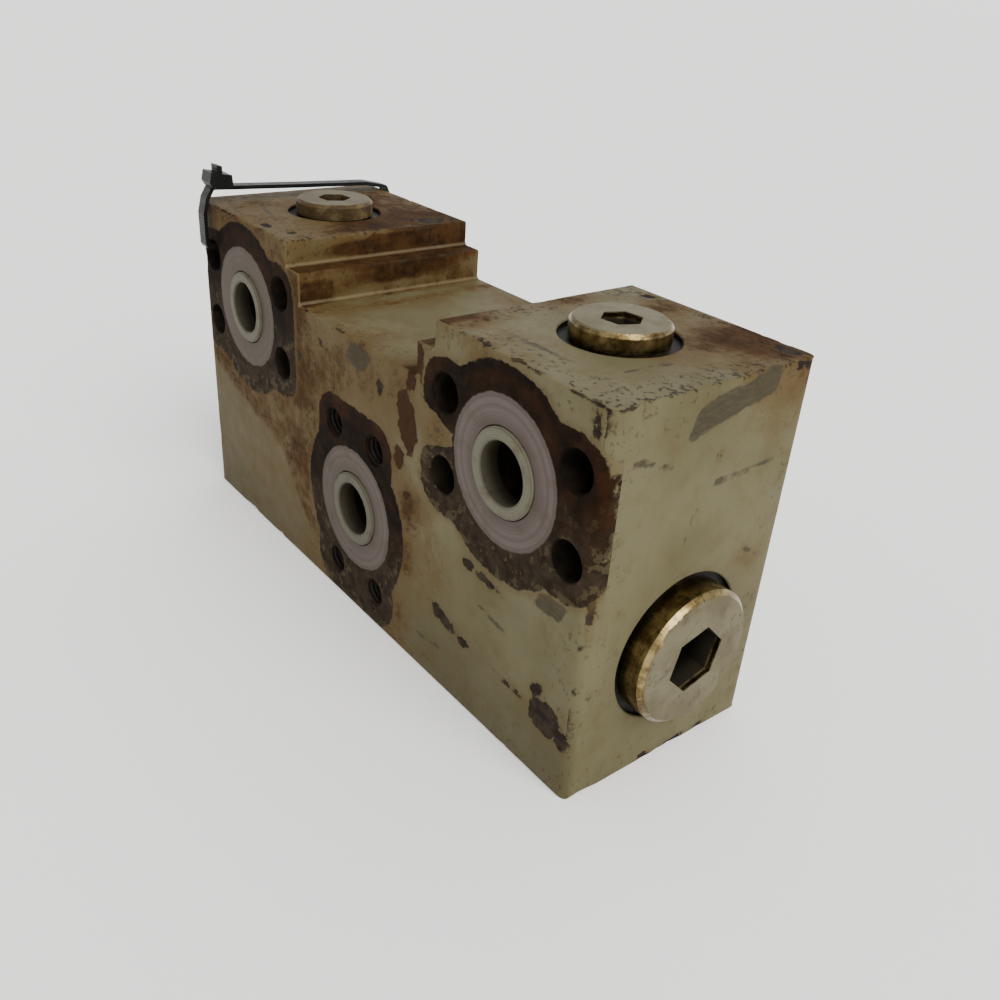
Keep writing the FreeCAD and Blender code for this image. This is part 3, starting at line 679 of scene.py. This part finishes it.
def wear_block(block):
    """Dent the block's edges and chips, and store the wear as attributes for its materials."""
    mesh = block.data
    points = np.zeros(len(mesh.vertices) * 3)
    mesh.vertices.foreach_get("co", points)
    points = points.reshape(-1, 3)
    normals = np.zeros(len(mesh.vertices) * 3)
    mesh.vertices.foreach_get("normal", normals)
    normals = normals.reshape(-1, 3)
    maps = wear_maps(points)
    shell = np.array([on_shell(point) for point in points])
    chipped = smooth(maps["chip"] + 1.4 * ragged(points, 5, 3), 0.4, -0.6) * CHIP_DEPTH
    knocks = smooth(ragged(points, 9, 11), 0.28, 0.75) * smooth(maps["edge"], 2.4, 0.2) * KNOCK_DEPTH
    rough = 0.05 * cloud(points, 3.1, 21) * smooth(maps["edge"], 3, 0)
    inward = np.where(shell, chipped + knocks + rough, 0)
    to_holes = [np.hypot(points[:, 0] - x, points[:, 2] - z) for x, z in THROUGH + TAPS]
    rims = (maps["port"] < 13) | (np.min(to_holes, axis=0) < 7)
    inward = np.where(rims & (abs(points[:, 1]) > HALF_Y - 1), 0, inward)
    points = points - normals * inward[:, None]
    points[:, 2] = np.maximum(points[:, 2], 0)
    mesh.vertices.foreach_set("co", points.ravel())
    for name, values in maps.items():
        stored = mesh.attributes.new(name, "FLOAT", "POINT")
        stored.data.foreach_set("value", np.clip(values, -60, 60).astype(np.float32))
    mesh.update()


# ---- materials

TONE = 0.78


class Recipe:
    """Builds one procedural material. Positions are object coordinates in millimetres."""

    def __init__(self, name, **plain):
        self.material = bpy.data.materials.new(name)
        self.material.use_nodes = True
        self.tree = self.material.node_tree
        self.shader = self.tree.nodes["Principled BSDF"]
        for socket, value in plain.items():
            self.shader.inputs[socket.replace("_", " ")].default_value = value
        place = self.tree.nodes.new("ShaderNodeTexCoord").outputs["Object"]
        self.point = self.vector("SCALE", place, scale=1 / MM)
        split = self.tree.nodes.new("ShaderNodeSeparateXYZ")
        self.link(self.point, split.inputs[0])
        self.x, self.y, self.z = split.outputs

    def link(self, source, target):
        if isinstance(source, (int, float)):
            target.default_value = source
        elif isinstance(source, tuple):
            target.default_value = source if len(source) == len(target.default_value) else (*source, 1)
        else:
            self.tree.links.new(source, target)

    def vector(self, operation, first, second=None, scale=None):
        node = self.tree.nodes.new("ShaderNodeVectorMath")
        node.operation = operation
        self.link(first, node.inputs[0])
        if second is not None:
            self.link(second, node.inputs[1])
        if scale is not None:
            node.inputs["Scale"].default_value = scale
        return node.outputs["Vector"]

    def math(self, operation, first, second=0.0, third=0.0):
        node = self.tree.nodes.new("ShaderNodeMath")
        node.operation = operation
        for socket, value in zip(node.inputs, (first, second, third)):
            self.link(value, socket)
        return node.outputs[0]

    def add(self, *values):
        total = values[0]
        for value in values[1:]:
            total = self.math("ADD", total, value)
        return total

    def times(self, first, second):
        return self.math("MULTIPLY", first, second)

    def minus(self, first, second):
        return self.math("SUBTRACT", first, second)

    def size(self, value):
        return self.math("ABSOLUTE", value)

    def length(self, across, up):
        return self.math("SQRT", self.add(self.times(across, across), self.times(up, up)))

    def either(self, first, second):
        return self.math("MAXIMUM", first, second)

    def flip(self, value):
        return self.minus(1.0, value)

    def step(self, value, start, end):
        """0 at start, 1 at end, eased between."""
        node = self.tree.nodes.new("ShaderNodeMapRange")
        node.interpolation_type = "SMOOTHSTEP"
        rising = start < end
        self.link(value, node.inputs["Value"])
        node.inputs["From Min"].default_value = start if rising else end
        node.inputs["From Max"].default_value = end if rising else start
        node.inputs["To Min"].default_value = 0 if rising else 1
        node.inputs["To Max"].default_value = 1 if rising else 0
        return node.outputs["Result"]

    def noise(self, grain, detail=3.0, rough=0.55, stretch=None):
        """Noise from about 0 to 1 with features about one grain (mm) across."""
        node = self.tree.nodes.new("ShaderNodeTexNoise")
        source = self.point if stretch is None else self.vector("MULTIPLY", self.point, stretch)
        self.link(source, node.inputs["Vector"])
        node.inputs["Scale"].default_value = 1 / grain
        node.inputs["Detail"].default_value = detail
        node.inputs["Roughness"].default_value = rough
        return node.outputs["Fac"]

    def swing(self, grain, detail=3.0, rough=0.55):
        """Noise about 0."""
        return self.minus(self.noise(grain, detail, rough), 0.5)

    def patches(self, grain, detail, start, end, rough=0.55):
        """1 inside irregular patches, with edges as soft as start and end are far apart."""
        return self.step(self.noise(grain, detail, rough), start, end)

    def bands(self, value, pitch, detail=2.0):
        """Noise along one value only: lines such as tool marks."""
        node = self.tree.nodes.new("ShaderNodeTexNoise")
        node.noise_dimensions = "1D"
        self.link(value, node.inputs["W"])
        node.inputs["Scale"].default_value = 1 / pitch
        node.inputs["Detail"].default_value = detail
        return node.outputs["Fac"]

    def specks(self, size, share):
        """1 inside small scattered spots."""
        node = self.tree.nodes.new("ShaderNodeTexVoronoi")
        self.link(self.point, node.inputs["Vector"])
        node.inputs["Scale"].default_value = 1 / size
        return self.step(node.outputs["Distance"], share, share * 0.55)

    def mix(self, share, first, second):
        node = self.tree.nodes.new("ShaderNodeMix")
        node.data_type = "RGBA"
        self.link(share, node.inputs[0])
        self.link(first, node.inputs[6])
        self.link(second, node.inputs[7])
        return node.outputs[2]

    def blend(self, share, first, second):
        """A number between two numbers."""
        node = self.tree.nodes.new("ShaderNodeMix")
        self.link(share, node.inputs[0])
        self.link(first, node.inputs[2])
        self.link(second, node.inputs[3])
        return node.outputs[0]

    def attribute(self, name):
        node = self.tree.nodes.new("ShaderNodeAttribute")
        node.attribute_name = name
        return node.outputs["Fac"]

    def finish(self, colour, rough, height=None, metal=None, strength=1.0):
        self.link(colour, self.shader.inputs["Base Color"])
        self.link(rough, self.shader.inputs["Roughness"])
        if metal is not None:
            self.link(metal, self.shader.inputs["Metallic"])
        if height is not None:
            bump = self.tree.nodes.new("ShaderNodeBump")
            bump.inputs["Distance"].default_value = MM
            bump.inputs["Strength"].default_value = strength
            self.link(height, bump.inputs["Height"])
            self.link(bump.outputs[0], self.shader.inputs["Normal"])
        return self.material


def srgb(red, green, blue, tone=TONE):
    """A linear colour from 0-255 display values, toned down to suit the studio's bright light."""
    shown = [value / 255 for value in (red, green, blue)]
    linear = [v / 12.92 if v <= 0.04045 else ((v + 0.055) / 1.055) ** 2.4 for v in shown]
    return (*(tone * value for value in linear), 1.0)


PAINT = srgb(106, 101, 76)
PAINT_DULL = srgb(93, 87, 61)
TAN = srgb(90, 73, 43)
RUST = srgb(68, 46, 23)
DARK_RUST = srgb(34, 21, 10)
GRIME = srgb(34, 29, 20)
SCUFFED = srgb(62, 57, 43)
BARE = srgb(103, 93, 88)
BARE_DARK = srgb(88, 78, 73)
MARK_DARK = srgb(17, 9, 3)
MARK_BROWN = srgb(47, 27, 11)
MARK_GREY = srgb(58, 49, 38)
FILLET_HIGHLIGHT = srgb(122, 110, 84)
GOLD = srgb(172, 152, 104)
GOLD_DARK = srgb(98, 80, 48)


def paint_layers(r, wear):
    """Colour, bareness, roughness and height of the block's worn paint, with painted shade low on the port
    face and a painted highlight along the saddle's fillets.
    """
    broad, fine, grain = r.noise(38, 3), r.noise(6, 4), r.noise(1.1, 2)
    jag = r.swing(3.2, 4, 0.65)
    stain = r.add(wear["stain"], r.times(r.swing(13, 4, 0.5), 0.75))
    colour = r.mix(r.step(broad, 0.35, 0.7), PAINT, PAINT_DULL)
    colour = r.mix(r.times(r.step(fine, 0.45, 0.75), 0.3), colour, TAN)
    colour = r.mix(r.times(r.step(r.x, 40, -100), 0.3), colour, srgb(66, 54, 32))
    # painted shade: the port face is darkened towards its bottom edge
    low = r.times(r.step(r.z, 36, 3), r.step(r.y, -HALF_Y + 3, -HALF_Y + 1))
    colour = r.mix(r.times(low, 0.4), colour, srgb(66, 58, 40))
    flakes = r.times(r.patches(7.5, 5, 0.53, 0.55, 0.62), r.step(wear["edge"], 0.5, 2.0))
    film = r.times(r.step(stain, 0.12, 0.6), 0.92)
    colour = r.mix(r.times(film, r.flip(r.times(flakes, r.times(r.step(stain, 0.7, 0.3), 0.6)))), colour, TAN)
    rusty = r.step(r.add(stain, r.times(jag, 0.5)), 0.55, 0.9)
    colour = r.mix(rusty, colour, RUST)
    deep = r.times(r.step(stain, 0.72, 1.05), r.patches(6, 4, 0.34, 0.7, 0.55))
    colour = r.mix(r.times(deep, 0.85), colour, DARK_RUST)
    upper = r.step(r.z, TOP - 0.9, TOP - 0.2)
    by_edge = r.times(r.step(wear["edge"], 20, 2), r.blend(upper, 0.45, 1))
    worn = r.either(by_edge, r.times(r.step(stain, 0.3, 0.7), 0.7))
    dense = r.add(r.noise(1.5, 4, 0.6), r.times(worn, 0.07), r.times(r.patches(11, 4, 0.4, 0.62), 0.06))
    pits = r.times(r.step(dense, 0.655, 0.71), worn)
    colour = r.mix(r.times(pits, 0.8), colour, GRIME)
    wander = r.times(r.swing(7, 3), 2.4)
    scuffs = r.step(r.add(wear["scuff"], r.times(jag, 2.2), wander), 0.5, -0.3)
    streaks = r.step(r.noise(0.8, 3, stretch=(0.25, 0.25, 1.0)), 0.35, 0.6)
    colour = r.mix(r.times(scuffs, r.blend(streaks, 0.75, 0.95)), colour, SCUFFED)
    gate = r.patches(17, 3, 0.47, 0.62)
    near_edge = r.step(r.add(wear["edge"], r.times(jag, 3.4), r.times(r.flip(gate), 1.5)), 0.9, 0.1)
    chips = r.step(r.add(wear["chip"], r.times(jag, 4.4)), 0.3, -0.15)
    bare = r.either(near_edge, chips)
    halo = r.step(r.add(wear["chip"], r.times(jag, 3)), 1.6, 0.1)
    colour = r.mix(r.times(halo, 0.35), colour, TAN)
    bare_colour = r.mix(r.patches(5, 4, 0.4, 0.62), srgb(38, 31, 26), srgb(56, 48, 38))
    reddish = r.step(r.size(r.minus(r.x, 28)), 14, 7)
    bare_colour = r.mix(r.times(r.times(reddish, r.step(r.z, 50, 60)), 0.85), bare_colour, srgb(60, 39, 21))
    bare_colour = r.mix(r.times(r.patches(2.2, 3, 0.55, 0.7), 0.5), bare_colour, DARK_RUST)
    colour = r.mix(bare, colour, bare_colour)
    # painted highlight: a pale line along the fillets at the foot of the saddle's steps
    fillet = r.times(r.step(wear["crevice"], 1.15, 0.5), r.blend(r.noise(9), 0.2, 0.8))
    colour = r.mix(fillet, colour, FILLET_HIGHLIGHT)
    height = r.add(
        r.times(r.flip(bare), 0.13), r.times(flakes, 0.03), r.times(grain, 0.04), r.times(fine, 0.07),
        r.times(pits, -0.1), r.times(r.times(rusty, r.noise(1.6, 3)), 0.12),
        r.times(r.times(scuffs, streaks), -0.04),
    )
    rough = r.blend(r.either(rusty, bare), r.blend(fine, 0.42, 0.64), 0.78)
    return colour, bare, rough, height, jag


def block_material():
    r = Recipe("block_paint", Specular_IOR_Level=0.05)
    stored = ("port", "clamp", "edge", "chip", "scuff", "stain", "rise", "crevice")
    wear = {name: r.attribute(name) for name in stored}
    colour, bare, rough, height, jag = paint_layers(r, wear)

    # clamp marks: unpainted steel, browned above and greyer below, with the paint's broken edge round them
    clamp = r.step(r.add(wear["clamp"], r.times(jag, 2.8)), 0.25, -0.3)
    rim = r.times(r.step(r.add(wear["clamp"], r.times(jag, 3)), 2.6, 0.4), r.flip(clamp))
    arcs = r.bands(wear["port"], 8, 1.0)
    high = r.step(r.add(wear["rise"], r.times(r.swing(12, 3), 30)), -9, 6)
    swirl = r.add(r.times(arcs, 0.5), r.times(r.noise(8, 4), 0.6))
    brown = r.mix(r.step(swirl, 0.42, 0.74), MARK_DARK, MARK_BROWN)
    grey = r.mix(r.patches(5, 5, 0.38, 0.62, 0.62), MARK_GREY, srgb(38, 30, 19))
    mark = r.mix(r.blend(high, 0.25, 1.0), grey, brown)
    mark = r.mix(r.times(r.times(r.patches(2.4, 4, 0.54, 0.68), r.flip(high)), 0.5), mark, MARK_GREY)
    edge_in = r.step(r.add(wear["clamp"], r.times(jag, 4)), -5, -0.5)
    crumbs = r.step(r.add(r.noise(3.4, 4, 0.6), r.times(edge_in, 0.07)), 0.59, 0.63)
    residue = r.times(crumbs, r.flip(r.times(high, 0.9)))
    mark = r.mix(r.times(residue, 0.6), mark, srgb(80, 71, 50))
    colour = r.mix(r.times(rim, 0.45), colour, TAN)
    colour = r.mix(clamp, colour, mark)
    height = r.blend(clamp, height, r.add(r.times(r.noise(1.3, 3), 0.07), r.times(residue, 0.08)))

    # sealing faces: bare steel with fine turned rings
    disc = r.step(r.add(wear["port"], r.times(jag, 1.2)), DISC_R + 0.2, DISC_R - 0.4)
    rings = r.bands(wear["port"], 0.55)
    broad_rings = r.bands(wear["port"], 2.4, 1.0)
    steel = r.mix(r.step(r.add(r.times(rings, 0.35), r.times(broad_rings, 0.75)), 0.4, 0.8), BARE_DARK, BARE)
    steel = r.mix(r.times(r.patches(9, 4, 0.46, 0.7), 0.6), steel, srgb(80, 68, 56))
    lip = r.step(r.size(r.minus(wear["port"], 11.6)), 0.9, 0.2)
    steel = r.mix(r.times(lip, 0.7), steel, srgb(52, 44, 36))
    steel = r.mix(r.times(r.step(r.x, 50, -60), 0.55), steel, srgb(66, 58, 42))
    colour = r.mix(disc, colour, steel)
    height = r.blend(disc, height, r.times(r.add(rings, broad_rings), 0.018))
    rough = r.blend(disc, r.either(rough, r.times(clamp, 0.75)), 0.5)
    metal = r.blend(disc, r.times(bare, 0.05), 0.3)
    return r.finish(colour, rough, height, metal)


def bore_material():
    """Inside the block's bores: oily steel with tool marks and some rust at the mouths, kept near black as
    painted shade.
    """
    r = Recipe("block_bores", Specular_IOR_Level=0.15)
    lines = r.bands(r.y, 0.7)
    colour = r.mix(r.patches(6, 4, 0.4, 0.66), srgb(16, 13, 8), srgb(34, 28, 20))
    colour = r.mix(r.times(r.patches(3, 3, 0.55, 0.7), 0.7), colour, srgb(40, 27, 15))
    return r.finish(colour, r.blend(r.noise(5), 0.45, 0.7), r.times(lines, 0.05))


def plug_material(kind):
    """Zinc plug with a gold passivated side; its outer face was painted over with the block."""
    r = Recipe(f"plug_{kind}", Specular_IOR_Level=0.15)
    node = "end_plug_right" if kind == "end" else "top_plug_right"
    lowest, highest = (np.array(corner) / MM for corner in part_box(node))
    centre = (lowest + highest) / 2
    if kind == "end":
        out = r.minus(highest[0], r.size(r.x))
        across, up, collar = r.y, r.minus(r.z, centre[2]), highest[1]
    else:
        out = r.minus(highest[2], r.z)
        across, up, collar = r.minus(r.size(r.x), centre[0]), r.y, highest[1]
    radius = r.length(across, up)
    jag = r.swing(2.6, 4, 0.62)
    face = r.step(r.add(out, r.times(jag, 0.8)), 0.42, 0.22)
    rubbed = r.step(r.add(radius, r.times(jag, 3.4)), collar - 1.5, collar - 0.7)
    painted = r.times(face, r.flip(r.times(rubbed, r.patches(14, 2, 0.46, 0.56))))
    # the hex socket: grimy paint near its mouth, then painted shade darkening it to near black deeper in
    socket = r.step(out, 1.2, 2.2)
    socket = r.times(socket, r.step(radius, collar * 0.6, collar * 0.55))
    gold = r.mix(r.patches(5, 4, 0.38, 0.66), GOLD_DARK, GOLD)
    gold = r.mix(r.times(r.patches(2, 3, 0.52, 0.68), 0.6), gold, srgb(50, 40, 24))
    gold = r.mix(r.times(r.step(r.bands(out, 0.5), 0.55, 0.75), 0.35), gold, srgb(176, 160, 112))
    paint = r.mix(r.patches(13, 3, 0.4, 0.64), srgb(106, 100, 77), srgb(92, 84, 60))
    spots = r.times(r.specks(2.2, 0.26), r.patches(9, 2, 0.48, 0.6))
    paint = r.mix(r.times(spots, 0.7), paint, srgb(62, 50, 33))
    paint = r.mix(r.times(r.patches(3.4, 4, 0.52, 0.68, 0.6), 0.45), paint, srgb(72, 61, 41))
    colour = r.mix(painted, gold, paint)
    colour = r.mix(socket, colour, r.mix(r.step(out, 3, 9), srgb(40, 36, 27), srgb(9, 7, 4)))
    aged = r.times(r.step(r.x, 20, -20), r.blend(r.patches(6, 4, 0.4, 0.62), 0.7, 0.95))
    colour = r.mix(r.times(aged, r.blend(painted, 1, 0.35)), colour, srgb(52, 38, 21))
    dull = r.either(r.either(painted, socket), aged)
    height = r.add(r.times(painted, 0.1), r.times(r.noise(1.0, 2), 0.03), r.times(r.noise(5, 3), 0.05))
    return r.finish(colour, r.blend(dull, 0.3, 0.55), height, r.flip(dull))


def washer_material():
    r = Recipe("seal_washer", Specular_IOR_Level=0.05)
    colour = r.mix(r.patches(4, 4, 0.4, 0.64), srgb(30, 23, 13), srgb(58, 49, 31))
    colour = r.mix(r.times(r.patches(1.6, 3, 0.54, 0.68), 0.7), colour, srgb(32, 24, 15))
    return r.finish(colour, 0.75, r.times(r.noise(1.2, 3), 0.1))


def ring_material():
    """Cream port ring: fine turned lines, smears of oil and painted shade on its bore wall."""
    r = Recipe("ring_cream", Specular_IOR_Level=0.15)
    across = r.minus(r.size(r.x), PORTS["right"][0])
    up = r.minus(r.z, PORTS["right"][1])
    low_across, low_up = r.x, r.minus(r.z, PORTS["centre"][1])
    outer = r.length(across, up)
    centre = r.length(low_across, low_up)
    radius = r.math("MINIMUM", outer, centre)
    lines = r.bands(radius, 0.35)
    colour = r.mix(r.step(lines, 0.35, 0.65), srgb(88, 85, 68), srgb(108, 105, 87))
    colour = r.mix(r.times(r.patches(5, 4, 0.5, 0.68), 0.75), colour, srgb(80, 70, 52))
    colour = r.mix(r.times(r.step(r.x, 60, 15), 0.5), colour, srgb(66, 60, 46))
    # painted shade: the ring's bore wall is darkened, more so further in
    inside = r.step(radius, 8.9, 8.55)
    bore_shade_depth = r.blend(r.step(r.y, -HALF_Y, -HALF_Y + 4), 0.55, 0.92)
    colour = r.mix(r.times(inside, bore_shade_depth), colour, srgb(34, 29, 22))
    return r.finish(colour, 0.46, r.times(lines, 0.05))


def steel_material(name, light, dark, line_axis):
    r = Recipe(name, Metallic=1.0)
    lines = r.bands(getattr(r, line_axis), 0.3)
    colour = r.mix(r.step(lines, 0.35, 0.65), dark, light)
    colour = r.mix(r.times(r.patches(5, 3, 0.52, 0.7), 0.5), colour, srgb(70, 60, 48))
    return r.finish(colour, r.blend(lines, 0.22, 0.4), r.times(lines, 0.02))


def rubber_material():
    r = Recipe("seal_rubber", Specular_IOR_Level=0.35)
    colour = r.mix(r.noise(4, 3), srgb(24, 24, 24), srgb(44, 43, 41))
    return r.finish(colour, r.blend(r.noise(2), 0.5, 0.7), r.times(r.noise(0.8, 2), 0.03))


def nylon_material():
    """Black cable tie: satin nylon with scuffs and fine ratchet lines along the strap."""
    r = Recipe("black_nylon", Specular_IOR_Level=0.2)
    colour = r.mix(r.patches(5, 3, 0.4, 0.7), srgb(5, 5, 5), srgb(14, 13, 12))
    scratches = r.step(r.noise(1.4, 3, stretch=(3, 1, 1)), 0.6, 0.72)
    colour = r.mix(r.times(scratches, 0.6), colour, srgb(34, 32, 29))
    teeth = r.math("SINE", r.times(r.add(r.y, r.z), 2 * math.pi / 1.2))
    return r.finish(colour, r.blend(r.noise(3), 0.34, 0.55), r.times(teeth, 0.04))


def floor_material():
    r = Recipe("studio_floor", Specular_IOR_Level=0.2)
    colour = r.mix(r.noise(220, 2), srgb(250, 250, 249, 1), srgb(254, 254, 253, 1))
    return r.finish(colour, 0.8)


# ---- assembly

block = build_block(block_material(), bore_material())
wear_block(block)
to_metres(block)
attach(block, "block")
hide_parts("valve_body")

spring_steel = steel_material("spring_steel", srgb(120, 118, 114), srgb(84, 82, 80), "z")
ground_steel = steel_material("ground_steel", srgb(182, 180, 176), srgb(140, 138, 134), "x")
# The first of these that is part of a CAD node's name gives its finish; the rest are ground steel.
finishes = {
    "plug_seal": washer_material(), "back_seal": rubber_material(), "cable_tie": nylon_material(),
    "spring_right": spring_steel, "spring_left": spring_steel, "port_ring": ring_material(),
    "end_plug": plug_material("end"), "top_plug": plug_material("top"),
}
for node, item in frame["nodes"].items():
    finish = next((made for part, made in finishes.items() if part in node), ground_steel)
    item.data.materials.clear()
    item.data.materials.append(finish)

for side, plug_end in (("right", 1), ("left", 0)):
    add_spring(f"check_spring_{side}", 2, CHECK_WIRE, 1, spring_steel)
    add_spring(f"centring_spring_{side}", 0, MAIN_WIRE, plug_end, spring_steel)

# ---- studio

CAMERA_AT = Vector((0.23467, -0.17134, 0.19175))
CAMERA_RIGHT = Vector((0.6125, 0.7877, 0.0655))
CAMERA_DOWN = Vector((0.4176, -0.2521, -0.8730))
CAMERA_AHEAD = Vector((-0.6712, 0.5620, -0.4834))
LENS = 34.93
FLOOR_FLAT, FLOOR_REACH, FLOOR_RISE = 20.0, 60.0, 16.0      # metres


def add_camera():
    lens = bpy.data.cameras.new("camera")
    lens.lens = LENS
    lens.sensor_width = 36
    lens.clip_start = 0.01
    camera = bpy.data.objects.new("camera", lens)
    axes = (CAMERA_RIGHT, -CAMERA_DOWN, -CAMERA_AHEAD)
    turn = Matrix([axis.normalized() for axis in axes]).transposed()
    camera.matrix_world = Matrix.Translation(CAMERA_AT) @ turn.to_4x4()
    bpy.context.scene.collection.objects.link(camera)
    bpy.context.scene.camera = camera


def add_light(name, toward, strength, softness, colour=(1, 1, 1)):
    """A large soft light far off, shining from the direction given."""
    lamp = bpy.data.lights.new(name, "SUN")
    lamp.energy = strength
    lamp.angle = math.radians(softness)
    lamp.color = colour
    item = bpy.data.objects.new(name, lamp)
    item.rotation_euler = Vector(toward).to_track_quat("Z", "Y").to_euler()
    bpy.context.scene.collection.objects.link(item)


def add_floor():
    """A flat floor that rises far off like a studio sweep, so that no horizon shows."""
    reach = np.concatenate([[0.01, 10], np.linspace(FLOOR_FLAT, FLOOR_REACH, 25)])
    rise = FLOOR_RISE * ((reach - FLOOR_FLAT).clip(0) / (FLOOR_REACH - FLOOR_FLAT)) ** 2
    sheet = Sheet()
    sheet.grid([[(x, y, up) for x, y in circle(0, 0, out, 96)] for out, up in zip(reach, rise)], closed=True)
    sheet.add([(x, y, 0) for x, y in circle(0, 0, 0.01, 96)], [list(range(96))])
    floor = sheet.weld("floor", [floor_material()])


add_camera()
add_floor()
add_light("key", (1.0, -0.16, 1.05), 3.8, 50, (1.0, 0.98, 0.95))
add_light("rim", (-0.5, 0.9, 0.8), 0.65, 60)
world = bpy.data.worlds.new("studio")
world.use_nodes = True
world.node_tree.nodes["Background"].inputs["Color"].default_value = (0.93, 0.94, 0.95, 1)
world.node_tree.nodes["Background"].inputs["Strength"].default_value = 0.8
bpy.context.scene.world = world
